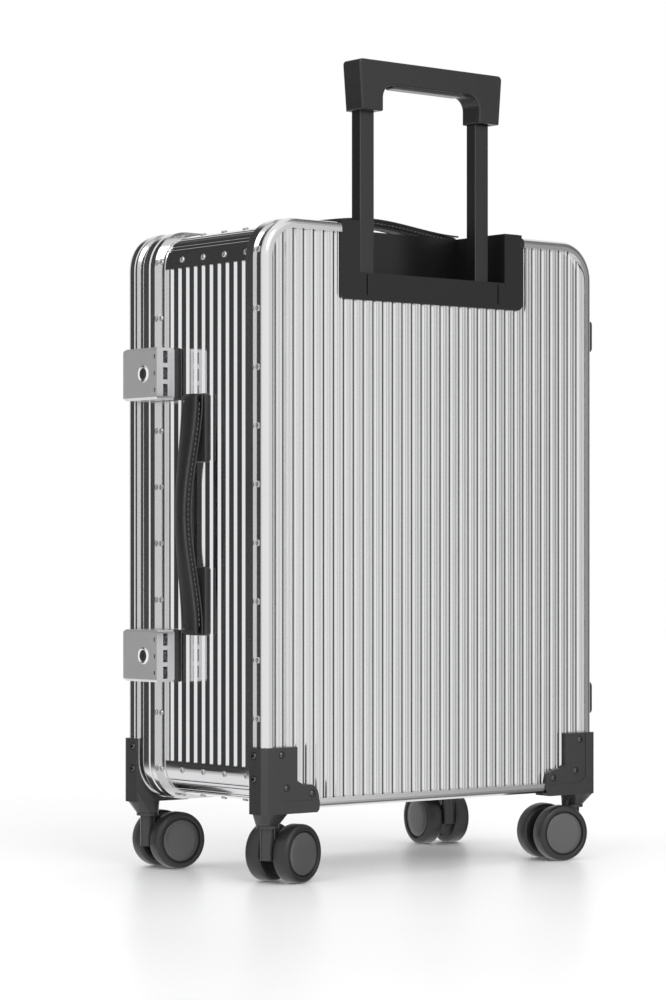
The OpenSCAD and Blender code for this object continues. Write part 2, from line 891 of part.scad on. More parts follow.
module trolley_inner_tubes() {
  color(black_plastic)
    tube_pair(tube_w, tube_d, tube_wall, max(outer_z0 + 8 + handle_out, grip_z - inner_tube_l),
              grip_z + socket_l);
}

module trolley_grip() {
  color(black_plastic)
    difference() {
      translate([0, grip_y + grip_d / 2, grip_z])
        rotate([90, 0, 0])
          linear_extrude(grip_d)
            difference() {
              union() {
                polygon([[-grip_x + 3.2, 0], [grip_x - 3.2, 0], [grip_x, grip_h - 4], [-grip_x, grip_h - 4]]);
                translate([-grip_x + 4, grip_h - 8]) square([2 * grip_x - 8, 8]);
                for (s = [-1, 1])
                  translate([s * (grip_x - 4), grip_h - 4]) circle(4);
              }
              translate([-leg_in_x, -over])
                square([2 * leg_in_x, grip_h - grip_under - 12 + over]);
              translate([-leg_in_x + 12, -over])
                square([2 * (leg_in_x - 12), grip_h - grip_under + over]);
              for (s = [-1, 1])
                translate([s * (leg_in_x - 12), grip_h - grip_under - 12]) circle(12);
            }
      for (s = [-1, 1])
        translate([s * tube_x - tube_w / 2 - eps, tube_y - tube_d / 2 - eps, grip_z - over])
          cube([tube_w + 2 * eps, tube_d + 2 * eps, socket_l + eps + over]);
      translate([-button_x - gap, grip_y - button_d / 2 - gap, grip_z + grip_h - grip_under - over])
        cube([2 * (button_x + gap), button_d + 2 * gap, button_h + button_stroke + gap]);
    }
}

module release_button() {
  color(silver)
    translate([0, grip_y, grip_z + grip_h - grip_under - 2])
      linear_extrude(button_h)
        round_rect(2 * button_x, button_d, 3);
}

// ---------------------------------------------------------------- hinges

hinge_zs = [mid_z + lock_offset, mid_z - lock_offset];
knuckle_n = 5;

// One leaf of a hinge with its share of the knuckles: side = 1 on the body, -1 on the lid
module hinge_leaf(side) {
  w = side > 0 ? leaf_w[0] : leaf_w[1];
  part = hinge_l / knuckle_n;
  first = side > 0 ? 0 : 1;
  for (k = [first : 2 : knuckle_n - 1])
    translate([hinge_x, seam_y, -hinge_l / 2 + k * part + gap / 2])
      ring(knuckle_r, pin_r + (side > 0 ? -0.2 : run), part - gap);
  difference() {
    translate([-half_w - eps - leaf_t, side > 0 ? seam_y + knuckle_r * 0.5 : seam_y - w, -hinge_l / 2])
      cube([leaf_t, w - knuckle_r * 0.5, hinge_l]);
    for (k = [1 - first : 2 : knuckle_n - 1])
      translate([hinge_x, seam_y, -hinge_l / 2 + k * part - gap / 2])
        cylinder(r = knuckle_r + gap, h = part + gap);
  }
}

module hinge_leaves_body() {
  color(grey_metal)
    for (z = hinge_zs)
      translate([0, 0, z]) {
        hinge_leaf(1);
        translate([hinge_x, seam_y, -hinge_l / 2])
          cylinder(r = pin_r, h = hinge_l);
      }
}

module hinge_leaves_lid() {
  color(grey_metal)
    for (z = hinge_zs)
      translate([0, 0, z])
        hinge_leaf(-1);
}

// ---------------------------------------------------------------- locks

module lock_case(z) {
  cut = 3;
  window = [10.5, 4.8];
  sight = [3.6, 2.2];
  cavity_y1 = seam_y + 16;
  difference() {
    translate([lock_x, 0, z])
      rotate([0, 90, 0])
        linear_extrude(lock_t)
          translate([0, (lock_y0 + lock_y1) / 2])
            round_rect(lock_h, lock_l, 3);
    // chamfered top and bottom edges
    for (s = [-1, 1])
      translate([lock_x + lock_t, lock_y0 - over, z + s * lock_h / 2])
        rotate([0, 45, 0])
          translate([-cut / 2, 0, -cut / 2])
            cube([cut, lock_l + 2 * over, cut]);
    // room for the keeper and the bolt
    translate([lock_x - over, lock_y0 + lock_wall, z - lock_h / 2 + lock_wall])
      cube([lock_t - lock_wall + over, cavity_y1 - lock_y0 - lock_wall, lock_h - 2 * lock_wall]);
    // mouth for the keeper
    translate([lock_x - over, lock_y0 - over, z - keeper_w / 2 - 1])
      cube([keeper_h + 2 + over, lock_wall + 2 * over, keeper_w + 2]);
    // key cylinder
    translate([lock_x - over, key_y, z])
      rotate([0, 90, 0])
        cylinder(r = key_r + run, h = lock_t + 2 * over);
    // dials, with a window at the back and one in the face
    for (i = [-1 : 1])
      translate([dial_x, dial_y, z + i * dial_pitch]) {
        translate([-dial_t / 2 - gap, 0, 0])
          rotate([0, 90, 0])
            cylinder(r = dial_r + gap, h = dial_t + 2 * gap);
        translate([-window[1] / 2, 0, -window[0] / 2])
          cube([window[1], dial_r + 2, window[0]]);
        translate([0, 2.2, -sight[0] / 2])
          cube([lock_t, sight[1], sight[0]]);
      }
  }
  // posts that carry the dials
  for (i = [-1 : 1])
    translate([dial_x - dial_t / 2 - gap - 0.6, dial_y, z + i * dial_pitch])
      rotate([0, 90, 0])
        cylinder(r = post_r, h = dial_t + 2 * gap + 1.2);
}

module lock_cases() {
  color(grey_metal)
    for (z = lock_z) lock_case(z);
}

// Black base between a lock and the frame, stepped down to the side panel
module lock_bases() {
  step_y = body_front_y + seam_band + eps;
  low_x = half_w - panel_in + eps;
  mid_x = half_w - seam_channel_in + eps;
  color(black_plastic)
    for (z = lock_z)
      translate([0, 0, z - lock_h / 2]) {
        translate([mid_x, rivet_seam_y, 0])
          cube([lock_x - eps - mid_x, lock_y1 - rivet_seam_y, lock_h]);
        translate([low_x, step_y, 0])
          cube([lock_x - eps - low_x, lock_y1 - step_y, lock_h]);
      }
}

// Pockets on the lid's bead that the bolts drop into
module lock_keepers() {
  color(grey_metal)
    for (z = lock_z)
      difference() {
        translate([half_w + eps, keeper_y0, z - keeper_w / 2])
          cube([keeper_h, keeper_y1 - keeper_y0, keeper_w]);
        translate([bolt_x - bolt_stroke - gap, keeper_y0 + keeper_wall, z - bolt_w / 2 - gap])
          cube([keeper_h, keeper_y1 - keeper_y0 - 2 * keeper_wall, bolt_w + 2 * gap]);
      }
}

module key_cylinder(z) {
  h = lock_x + lock_t + 0.6 - plunger_x;
  color(silver)
    translate([plunger_x, key_y, z])
      rotate([0, 90, 0])
        difference() {
          cylinder(r = key_r, h = h);
          translate([-3, -0.6, h - 3])
            cube([6, 1.2, 3 + over]);
        }
}

// Hooked bolt: a nose over the keeper's pocket and an arm back to the key cylinder's foot
module lock_bolt(z) {
  nose_y = (keeper_y0 + keeper_y1) / 2;
  arm_x = bolt_x + bolt_stroke;
  color(grey_metal)
    translate([0, 0, z - bolt_w / 2]) {
      translate([bolt_x, nose_y - bolt_t / 2, 0])
        cube([bolt_top - bolt_x, bolt_t, bolt_w]);
      translate([arm_x, nose_y - bolt_t / 2, 0])
        cube([bolt_top - arm_x, key_y + 3.5 - nose_y + bolt_t / 2, bolt_w]);
    }
}

module dial(z, i) {
  color(black_plastic)
    translate([dial_x - dial_t / 2, dial_y, z + i * dial_pitch])
      rotate([0, 90, 0])
        difference() {
          cylinder(r = dial_r, h = dial_t);
          translate([0, 0, -over])
            cylinder(r = post_r + run, h = dial_t + 2 * over);
          for (k = [0 : 9])
            rotate([0, 0, 36 * k])
              translate([dial_r + 0.5, 0, -over])
                cylinder(r = 0.9, h = dial_t + 2 * over);
        }
}

// ---------------------------------------------------------------- lid

module lid_panel() {
  color(silver)
    mirror([0, 1, 0])
      translate([0, back_panel_y, 0])
        face_panel();
}

module lid_front_frame() {
  color(silver)
    difference() {
      case_loop()
        polygon(concat(
          [[-frame_t, front_y + border_recess], [-border_w, front_y + border_recess], [-border_w, front_y]],
          arc(-edge_r, front_y + edge_r, edge_r, -90, 0, 5),
          [[0, front_y + 10.8], [-0.6, front_y + 11.4], [-0.6, front_y + 12.8], [0, front_y + 13.4],
           [0, front_y + lid_bead], [-channel_in, front_y + lid_bead],
           [-channel_in, front_y + lid_band - eps], [-frame_t, front_y + lid_band - eps]]
        ));
      bracket_screw_places(-1) screw_hole();
    }
}

module lid_seam_frame() {
  color(silver)
    case_loop()
      polygon([
        [-frame_t, front_y + lid_band], [-channel_in, front_y + lid_band],
        [-channel_in, front_y + lid_band + 1.2], [-0.7, front_y + lid_band + 3],
        [0, front_y + lid_band + 5], [0, lid_back_y - 1.2], [-0.8, lid_back_y],
        [-seam_land, lid_back_y], [-seam_land, lid_back_y - 2.8], [-frame_t, lid_back_y - 2.8]
      ]);
}

module lid_wall() {
  color(dark_silver)
    case_loop()
      translate([-panel_in - 1.6, front_y + border_recess + panel_t + 2 * eps])
        square([1.6, lid_depth - border_recess - panel_t - 3.6]);
}

// ---------------------------------------------------------------- linings

// Room that the trolley housing takes at the top of the back, grown by g
module housing_room(g) {
  translate([-tub_x - g, tub_y0 - g, tub_z0 - g])
    cube([2 * (tub_x + g), case_d, case_h]);
}

module body_lining() {
  y0 = body_front_y + 3.4;
  color(grey_fabric)
    difference() {
      case_plate(lining_in, y0, inner_y);
      housing_room(0.4);
      difference() {
        case_plate(lining_in + lining_t, y0 - over, inner_y - lining_t);
        housing_room(0.4 + lining_t);
      }
    }
}

module lid_lining() {
  y0 = front_y + border_recess + panel_t + 3 * eps;
  color(grey_fabric)
    difference() {
      case_plate(lining_in, y0, lid_back_y - 3.4);
      case_plate(lining_in + lining_t, y0 + lining_t, lid_back_y);
    }
}

// Two packing straps with buckles, flat against the back of the packing space
module pack_straps() {
  x1 = half_w - lining_in - lining_t - 0.5;
  y1 = inner_y - lining_t - 0.3;
  color(black_plastic)
    for (s = [-1, 1])
      translate([0, 0, mid_z + s * case_h / 5]) {
        translate([-x1, y1 - web_t, -web_w / 2])
          cube([2 * x1, web_t, web_w]);
        translate([-buckle[0] / 2, y1 - buckle[1], -buckle[2] / 2])
          cube([buckle[0], buckle[1], buckle[2]]);
      }
}

// ---------------------------------------------------------------- casters

// Places its children on a swivel axis, at floor height, turned to the trail's direction at rest
module at_caster(i) {
  sx = (i % 2 == 0) ? 1 : -1;
  sy = (i < 2) ? 1 : -1;
  translate([sx * caster_x, sy * caster_y, 0])
    rotate([0, 0, caster_angles[i]])
      children();
}

inner_gap = wheel_gauge - wheel_w;      // between the twin wheels
fork_t = inner_gap - 2 * gap - 0.2;
collar_z = leg_bottom - gap;
axle_l = wheel_gauge + wheel_w - 6.8;

module fork(i) {
  color(black_plastic)
    at_caster(i) {
      difference() {
        union() {
          translate([0, 0, collar_z - 2.4])
            cylinder(r = leg_r, h = 2.4);
          translate([0, 0, collar_z - 12])
            cylinder(r = fork_t / 2, h = 11);
          translate([0, 0, collar_z - 1])
            cylinder(r = king_r, h = king_l + 1 - gap);
          hull() {
            translate([0, 0, wheel_r - 5])
              cylinder(r = fork_t / 2, h = 18, $fn = 32);
            translate([trail, fork_t / 2, wheel_r])
              rotate([90, 0, 0])
                cylinder(r = 7, h = fork_t, $fn = 32);
          }
        }
        translate([trail, axle_l / 2 + over, wheel_r])
          rotate([90, 0, 0])
            cylinder(r = axle_r + run, h = axle_l + 2 * over);
      }
      translate([trail, axle_l / 2, wheel_r])
        rotate([90, 0, 0])
          cylinder(r = axle_r, h = axle_l);
    }
}

// One wheel standing on the floor: tyre, hub face set in a shallow ring, blind bore for the axle
module wheel() {
  w = wheel_w / 2;
  rotate_extrude()
    polygon([
      [axle_r + run, -w], [wheel_r - 3, -w], [wheel_r - 0.8, -w + 0.9], [wheel_r, -w + 3],
      [wheel_r, w - 3], [wheel_r - 0.8, w - 0.9], [wheel_r - 3, w], [wheel_r - 5.4, w],
      [wheel_r - 6, w - 1.2], [wheel_r - 7, w - 1.2], [wheel_r - 7.4, w - 0.4], [0, w - 0.4],
      [0, w - 2.6], [axle_r + run, w - 2.6]
    ]);
}

// Wheel of a caster, on one side of its fork
module caster_wheel(i, side) {
  color(black_plastic)
    at_caster(i)
      translate([trail, side * wheel_gauge / 2, wheel_r])
        rotate([-90 * side, 0, 0])
          wheel();
}

// ---------------------------------------------------------------- parts

back_panel();
side_panel_left();
side_panel_right();
top_panel();
bottom_panel();
corner_rails();
back_frame();
body_seam_frame();
seam_gasket();
body_rivets();
back_bracket_left();
back_bracket_right();
body_screws();
side_handle_strap();
top_handle_strap();
handle_mounts();
body_feet();
trolley_housing();
trolley_outer_tubes();
hinge_leaves_body();
lock_cases();
lock_bases();
body_lining();
pack_straps();
lid_panel();
lid_wall();
lid_front_frame();
lid_seam_frame();
lid_lining();
lid_bracket_left();
lid_bracket_right();
lid_screws();
hinge_leaves_lid();
lock_keepers();
key_cylinder(lock_z[0]);  // key_cylinder_upper
key_cylinder(lock_z[1]);  // key_cylinder_lower
lock_bolt(lock_z[0]);  // lock_bolt_upper
lock_bolt(lock_z[1]);  // lock_bolt_lower
dial(lock_z[0], 1);  // dial_upper_1
dial(lock_z[0], 0);  // dial_upper_2
dial(lock_z[0], -1);  // dial_upper_3
dial(lock_z[1], 1);  // dial_lower_1
dial(lock_z[1], 0);  // dial_lower_2
dial(lock_z[1], -1);  // dial_lower_3
trolley_mid_tubes();
trolley_inner_tubes();
trolley_grip();
release_button();
fork(0);  // fork_back_left
fork(1);  // fork_back_right
fork(2);  // fork_front_left
fork(3);  // fork_front_right
caster_wheel(0, 1);  // wheel_back_left_a
caster_wheel(0, -1);  // wheel_back_left_b
caster_wheel(1, 1);  // wheel_back_right_a
caster_wheel(1, -1);  // wheel_back_right_b
caster_wheel(2, 1);  // wheel_front_left_a
caster_wheel(2, -1);  // wheel_front_left_b
caster_wheel(3, 1);  // wheel_front_right_a
caster_wheel(3, -1);  // wheel_front_right_b
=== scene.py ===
"""Hard shell suitcase on wheels: finishes, detailed pieces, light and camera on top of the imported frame."""

import json
import logging
import math
from dataclasses import dataclass, field
from enum import Enum

import bpy
from mathutils import Matrix, Vector

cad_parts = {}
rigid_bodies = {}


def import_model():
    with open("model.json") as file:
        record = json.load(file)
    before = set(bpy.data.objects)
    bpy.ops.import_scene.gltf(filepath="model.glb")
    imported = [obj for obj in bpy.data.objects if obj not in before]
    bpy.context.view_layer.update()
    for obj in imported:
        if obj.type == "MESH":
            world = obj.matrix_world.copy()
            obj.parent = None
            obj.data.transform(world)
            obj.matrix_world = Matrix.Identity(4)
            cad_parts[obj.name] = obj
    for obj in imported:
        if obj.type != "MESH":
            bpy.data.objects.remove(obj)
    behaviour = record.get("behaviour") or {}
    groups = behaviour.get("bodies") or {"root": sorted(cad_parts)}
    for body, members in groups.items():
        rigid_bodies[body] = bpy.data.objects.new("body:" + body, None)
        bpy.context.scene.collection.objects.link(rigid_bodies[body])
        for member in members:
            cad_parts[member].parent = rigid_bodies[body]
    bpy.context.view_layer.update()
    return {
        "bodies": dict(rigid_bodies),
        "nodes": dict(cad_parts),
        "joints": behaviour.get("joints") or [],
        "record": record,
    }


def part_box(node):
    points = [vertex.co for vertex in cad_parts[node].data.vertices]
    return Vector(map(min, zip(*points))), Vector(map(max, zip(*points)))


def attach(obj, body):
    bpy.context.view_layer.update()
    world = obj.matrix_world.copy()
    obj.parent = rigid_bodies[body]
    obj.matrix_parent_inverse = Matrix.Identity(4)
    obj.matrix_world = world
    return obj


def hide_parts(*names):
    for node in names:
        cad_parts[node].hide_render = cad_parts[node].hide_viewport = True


LOG = logging.getLogger("suitcase")
MM = 0.001
MERGE_M = 0.00002       # points nearer than this are one point
FLAT_DEG = 1.5          # faces that meet flatter than this are one face
# painted shade: the colour laid along the middle of each panel groove, where the narrow valley falls in shade
GROOVE_PAINTED_SHADE = (0.012, 0.012, 0.013)
GROOVE_SHADE_EDGE_M = (0.00045, 0.001)        # distances from a groove's middle between which its painted shade fades
LATHE_STEPS = 48
WHEEL_STEPS = 64
CORNERS = ("back_left", "back_right", "front_left", "front_right")
LEVELS = ("upper", "lower")
Point = tuple[float, float, float]


def scaled(colour: Point, share: float) -> Point:
    """A colour made darker or lighter by a share, and never past white."""
    return tuple(min(c * share, 1.0) for c in colour)


# ------------------------------------------------------------------ shader maths


class Value:
    """A shader socket that takes part in Python arithmetic."""

    def __init__(self, graph: "Graph", socket: bpy.types.NodeSocket) -> None:
        """Wrap a socket.

        Args:
            graph: the node graph that the socket belongs to.
            socket: the output that carries the value.
        """
        self.graph = graph
        self.socket = socket

    def _math(self, operation: str, *others: "Value | float") -> "Value":
        """Add one Math node.

        Args:
            operation: the node's operation.
            others: the values after this one.

        Returns:
            The node's result.
        """
        return self.graph.node("ShaderNodeMath", {"operation": operation}, {
            i: v for i, v in enumerate((self, *others))})

    def __add__(self, other: "Value | float") -> "Value":
        """Sum."""
        return self._math("ADD", other)

    def __mul__(self, other: "Value | float") -> "Value":
        """Product."""
        return self._math("MULTIPLY", other)

    def __sub__(self, other: "Value | float") -> "Value":
        """Difference."""
        return self._math("SUBTRACT", other)

    def __rsub__(self, other: float) -> "Value":
        """Difference from a number."""
        return self * -1.0 + other

    def __abs__(self) -> "Value":
        """Size without sign."""
        return self._math("ABSOLUTE")

    def fraction(self) -> "Value":
        """What is left after the whole number below."""
        return self._math("FRACT")

    def sine(self) -> "Value":
        """Sine, of radians."""
        return self._math("SINE")

    def step(self, low: float, high: float) -> "Value":
        """Smooth step from nought at low to one at high."""
        return self.graph.node("ShaderNodeMapRange", {"interpolation_type": "SMOOTHSTEP", "clamp": True},
                               {"Value": self, "From Min": low, "From Max": high})


class Graph:
    """One node graph, of a material or of the world."""

    def __init__(self, owner: "bpy.types.Material | bpy.types.World") -> None:
        """Start an empty graph.

        Args:
            owner: the material or world that holds it.
        """
        owner.use_nodes = True
        self.owner = owner
        self.tree = owner.node_tree
        self.tree.nodes.clear()

    @classmethod
    def of_material(cls, name: str) -> "Graph":
        """The empty graph of a new material."""
        return cls(bpy.data.materials.new(name))

    def node(self, kind: str, settings: dict, values: dict, output: int | str = 0) -> Value:
        """Add a node, set it, then link or fill its inputs.

        Args:
            kind: the node's type.
            settings: properties that are set first; "stops" fills a colour ramp.
            values: input name or number to a Value or a constant.
            output: which output to hand back.

        Returns:
            The chosen output.
        """
        made = self.tree.nodes.new(kind)
        for key, setting in settings.items():
            if key == "stops":
                self._stops(made, setting)
            else:
                setattr(made, key, setting)
        for key, value in values.items():
            if isinstance(value, Value):
                self.tree.links.new(value.socket, made.inputs[key])
            else:
                made.inputs[key].default_value = value
        return Value(self, made.outputs[output])

    @staticmethod
    def _stops(ramp: bpy.types.Node, stops: list[tuple[float, Point]]) -> None:
        """Fill a colour ramp.

        Args:
            ramp: the ColorRamp node.
            stops: position and colour of each stop.
        """
        elements = ramp.color_ramp.elements
        while len(elements) > 1:
            elements.remove(elements[-1])
        for i, (place, colour) in enumerate(stops):
            stop = elements[0] if i == 0 else elements.new(place)
            stop.position = place
            stop.color = (*colour, 1.0)

    def place(self, scale: Point = (1.0, 1.0, 1.0)) -> Value:
        """Object coordinates, stretched by scale.

        Args:
            scale: factor along each axis.

        Returns:
            The coordinates.
        """
        spot = self.node("ShaderNodeTexCoord", {}, {}, "Object")
        return self.node("ShaderNodeMapping", {}, {"Vector": spot, "Scale": scale})

    def noise(self, where: Value, scale: float, detail: float = 3.0, rough: float = 0.55) -> Value:
        """Noise from 0 to 1.

        Args:
            where: coordinates.
            scale: how fine it is.
            detail: number of octaves.
            rough: share of the finer octaves.

        Returns:
            The noise.
        """
        return self.node("ShaderNodeTexNoise", {}, {"Vector": where, "Scale": scale, "Detail": detail,
                                                    "Roughness": rough}, "Fac")

    def axis(self, where: Value, name: str) -> Value:
        """One coordinate of a vector: X, Y or Z."""
        return self.node("ShaderNodeSeparateXYZ", {}, {"Vector": where}, name)

    def tint(self, factor: Value | float, low: Value | Point, high: Value | Point) -> Value:
        """Mix two colours.

        Args:
            factor: nought for low, one for high.
            low: first colour.
            high: second colour.

        Returns:
            The colour.
        """
        first, second = (c if isinstance(c, Value) else (*c, 1.0) for c in (low, high))
        return self.node("ShaderNodeMix", {"data_type": "RGBA"}, {0: factor, 6: first, 7: second}, 2)

    def bump(self, height: Value, distance: float, strength: float = 1.0) -> Value:
        """Normal from a height.

        Args:
            height: the height, about 0 to 1.
            distance: metres that a height of 1 stands for.
            strength: share of the effect.

        Returns:
            The normal.
        """
        return self.node("ShaderNodeBump", {}, {"Height": height, "Distance": distance, "Strength": strength},
                         "Normal")

    def finish(self, **values: "Value | float | tuple") -> bpy.types.Material:
        """Close the graph with a Principled shader.

        Args:
            values: shader inputs, with spaces written as underscores.

        Returns:
            The material.
        """
        named = {key.replace("_", " "): value for key, value in values.items()}
        self.close(self.node("ShaderNodeBsdfPrincipled", {}, named), "ShaderNodeOutputMaterial")
        return self.owner

    def close(self, shader: Value, kind: str) -> None:
        """Link a shader to the graph's output.

        Args:
            shader: the surface shader or the background.
            kind: the output node's type.
        """
        out = self.tree.nodes.new(kind)
        self.tree.links.new(shader.socket, out.inputs["Surface"])


# ------------------------------------------------------------------ finishes


class Grain(Enum):
    """The way a metal's brush lines run."""

    UPRIGHT = (1.0, 1.0, 0.012)
    ACROSS = (0.012, 1.0, 1.0)
    DEEP = (1.0, 0.012, 1.0)
    NONE = (1.0, 1.0, 1.0)


@dataclass(frozen=True)
class Metal:
    """Rolled, brushed or polished metal."""

    name: str
    colour: Point
    roughness: float
    grain: Grain = Grain.NONE
    grain_scale: float = 1400.0
    bump_m: float = 0.00001
    smudge: float = 0.06
    metallic: float = 1.0
    groove_pitch_m: float = 0.0

    def build(self) -> bpy.types.Material:
        """Brush lines in roughness, colour and relief, wide faint smudges, and painted shade in the grooves
        if it has any.
        """
        g = Graph.of_material(self.name)
        lines = g.noise(g.place(self.grain.value), self.grain_scale, 2.0, 0.6)
        wide = g.noise(g.place(), 14.0, 2.0)
        colour = g.tint(lines * 0.6 + wide * 0.4, scaled(self.colour, 0.92), scaled(self.colour, 1.05))
        # painted shade: the colour darkens near each groove's middle, standing in for the shade inside the
        # grooves
        if self.groove_pitch_m:
            along = g.axis(g.place(), "X") * (1.0 / self.groove_pitch_m) + 0.5
            off = abs(along.fraction() - 0.5) * self.groove_pitch_m
            colour = g.tint(off.step(*GROOVE_SHADE_EDGE_M), GROOVE_PAINTED_SHADE, colour)
        return g.finish(
            Base_Color=colour, Metallic=self.metallic,
            Roughness=lines * 0.08 + wide * self.smudge + (self.roughness - 0.07),
            Normal=g.bump(lines, self.bump_m))


@dataclass(frozen=True)
class Moulded:
    """Moulded plastic with a fine satin texture and faint scuffs."""

    name: str
    colour: Point
    roughness: float = 0.42
    texture_scale: float = 2600.0
    bump_m: float = 0.00003
    coat: float = 0.0

    def build(self) -> bpy.types.Material:
        """Fine texture in relief, slow changes of colour and roughness."""
        g = Graph.of_material(self.name)
        fine = g.noise(g.place(), self.texture_scale, 2.0)
        wide = g.noise(g.place(), 22.0, 3.0)
        scuff = g.noise(g.place((1.0, 1.0, 0.25)), 260.0, 4.0, 0.7).step(0.62, 0.8)
        return g.finish(
            Base_Color=g.tint(wide, scaled(self.colour, 0.88), scaled(self.colour, 1.12)),
            Metallic=0.0, Coat_Weight=self.coat, Coat_Roughness=0.2,
            Roughness=fine * 0.06 + wide * 0.08 + scuff * 0.06 + (self.roughness - 0.08),
            Normal=g.bump(fine, self.bump_m))


@dataclass(frozen=True)
class Leather:
    """Smooth black leather with a small pebbled grain."""

    name: str
    colour: Point
    roughness: float = 0.42
    pebble_scale: float = 900.0

    def build(self) -> bpy.types.Material:
        """Pebbles from cells, creases from noise, and colour painted from the height: painted shade in the
        low spots and a painted sheen on the high spots.
        """
        g = Graph.of_material(self.name)
        warp = g.noise(g.place(), 160.0, 2.0)
        cells = g.node("ShaderNodeTexVoronoi", {"feature": "SMOOTH_F1"},
                       {"Vector": g.place(), "Scale": self.pebble_scale, "Smoothness": 0.35}, "Distance")
        crease = g.noise(g.place((1.0, 1.0, 0.3)), 420.0, 4.0, 0.65)
        height = cells * 0.6 + crease * 0.4 + warp * 0.3
        # painted shade and painted sheen: the colour is darker where the grain lies low and lighter where it
        # stands high
        tone = g.tint(height.step(0.3, 0.9), scaled(self.colour, 0.7), scaled(self.colour, 1.35))
        return g.finish(Base_Color=tone,
                        Roughness=cells * 0.12 + warp * 0.1 + (self.roughness - 0.1),
                        Normal=g.bump(height, 0.00012))


@dataclass(frozen=True)
class Cloth:
    """Plain-woven cloth or webbing."""

    name: str
    colour: Point
    thread_m: float = 0.0009
    roughness: float = 0.85

    def build(self) -> bpy.types.Material:
        """Threads over and under, from sines along the three axes, with slubs."""
        g = Graph.of_material(self.name)
        turn = math.pi / self.thread_m
        spot = g.place()
        x, y, z = (g.axis(spot, name) * turn for name in "XYZ")
        weave = (x.sine() + y.sine()) * z.sine()
        slub = g.noise(g.place((1.0, 1.0, 0.1)), 300.0, 2.0)
        wide = g.noise(g.place(), 9.0, 2.0)
        height = weave * 0.25 + slub * 0.5 + 0.3
        tone = g.tint(height * 0.8 + wide * 0.2, scaled(self.colour, 0.6), scaled(self.colour, 1.25))
        return g.finish(Base_Color=tone, Sheen_Weight=0.3,
                        Roughness=slub * 0.1 + (self.roughness - 0.05), Normal=g.bump(height, 0.00018))


@dataclass(frozen=True)
class Numbered:
    """Dial plastic with pale flecks for its marks."""

    name: str
    colour: Point
    mark: Point

    def build(self) -> bpy.types.Material:
        """Fine moulded texture under the flecks."""
        g = Graph.of_material(self.name)
        fleck = g.noise(g.place(), 900.0, 1.0).step(0.6, 0.66)
        fine = g.noise(g.place(), 2400.0, 2.0)
        return g.finish(Base_Color=g.tint(fleck * 0.35, self.colour, self.mark), Roughness=fine * 0.1 + 0.3,
                        Normal=g.bump(fine, 0.00002))


@dataclass(frozen=True)
class Finishes:
    """Every finish on the suitcase."""

    satin: Metal = Metal("satin_aluminium", (0.80, 0.80, 0.805), 0.17, Grain.UPRIGHT, groove_pitch_m=0.011)
    frame_metal: Metal = Metal("frame_aluminium", (0.76, 0.76, 0.765), 0.17, Grain.NONE, 900.0)
    mirror: Metal = Metal("side_aluminium", (0.78, 0.78, 0.79), 0.11, Grain.UPRIGHT, 700.0, 0.000004)
    rail: Metal = Metal("rail_aluminium", (0.72, 0.72, 0.73), 0.13, Grain.DEEP, 700.0, 0.000004)
    rivet: Metal = Metal("rivet_steel", (0.5, 0.5, 0.51), 0.16, Grain.NONE, 1200.0)
    lock: Metal = Metal("lock_grey", (0.7, 0.7, 0.71), 0.3, Grain.ACROSS, 1600.0, metallic=0.72)
    chrome: Metal = Metal("bright_chrome", (0.9, 0.9, 0.9), 0.1, Grain.NONE, 900.0, 0.000002)
    tube: Metal = Metal("black_tube", (0.085, 0.085, 0.088), 0.3, Grain.UPRIGHT)
    plastic: Moulded = Moulded("black_plastic", (0.032, 0.032, 0.0335), 0.3)
    housing: Moulded = Moulded("housing_plastic", (0.007, 0.007, 0.0075), 0.34)
    grip: Moulded = Moulded("grip_plastic", (0.02, 0.02, 0.021), 0.28)
    screw: Metal = Metal("screw_black", (0.11, 0.11, 0.115), 0.22, Grain.NONE, 900.0)
    tyre: Moulded = Moulded("wheel_tyre", (0.016, 0.016, 0.017), 0.4, 1800.0)
    cap: Moulded = Moulded("wheel_cap", (0.078, 0.078, 0.08), 0.33, 3000.0, 0.00001, 0.2)
    rubber: Moulded = Moulded("seal_rubber", (0.012, 0.012, 0.012), 0.6)
    leather: Leather = Leather("strap_leather", (0.0045, 0.0044, 0.0044), 0.36)
    # the thread's own dark grey, set lighter so that it also stands in for the highlights on the stitches:
    # partly a painted highlight
    thread_grey_and_highlight: Cloth = Cloth("strap_thread_grey_and_highlight", (0.11, 0.11, 0.112), 0.0002, 0.6)
    # painted highlight: the piping's leather is set much lighter than the strap's, standing in for the
    # highlights along the strap's edges
    painted_highlight_piping: Leather = Leather("strap_piping_painted_highlight", (0.035, 0.0345, 0.0345), 0.3)
    lining: Cloth = Cloth("lining_cloth", (0.16, 0.17, 0.19), 0.0011)
    webbing: Cloth = Cloth("strap_webbing", (0.03, 0.03, 0.033), 0.0016)
    dial: Numbered = Numbered("dial_plastic", (0.03, 0.03, 0.032), (0.7, 0.7, 0.7))


class Paint:
    """Builds each finish once and lays it on objects."""

    def __init__(self) -> None:
        """Start with no materials built."""
        self._built: dict[str, bpy.types.Material] = {}

    def lay(self, obj: bpy.types.Object, finish: "Metal | Moulded | Leather | Cloth | Numbered") -> None:
        """Give an object one finish all over.

        Args:
            obj: the object.
            finish: the finish.
        """
        if finish.name not in self._built:
            self._built[finish.name] = finish.build()
        material = self._built[finish.name]
        if not obj.material_slots:
            obj.data.materials.append(material)
        for slot in obj.material_slots:
            slot.link = "DATA"
            slot.material = material


# ------------------------------------------------------------------ workbench


@dataclass(frozen=True)
class Rounding:
    """How a piece's edges are rounded: how wide, from what angle, and how finely."""

    width_mm: float
    degrees: float = 40.0
    segments: int = 3


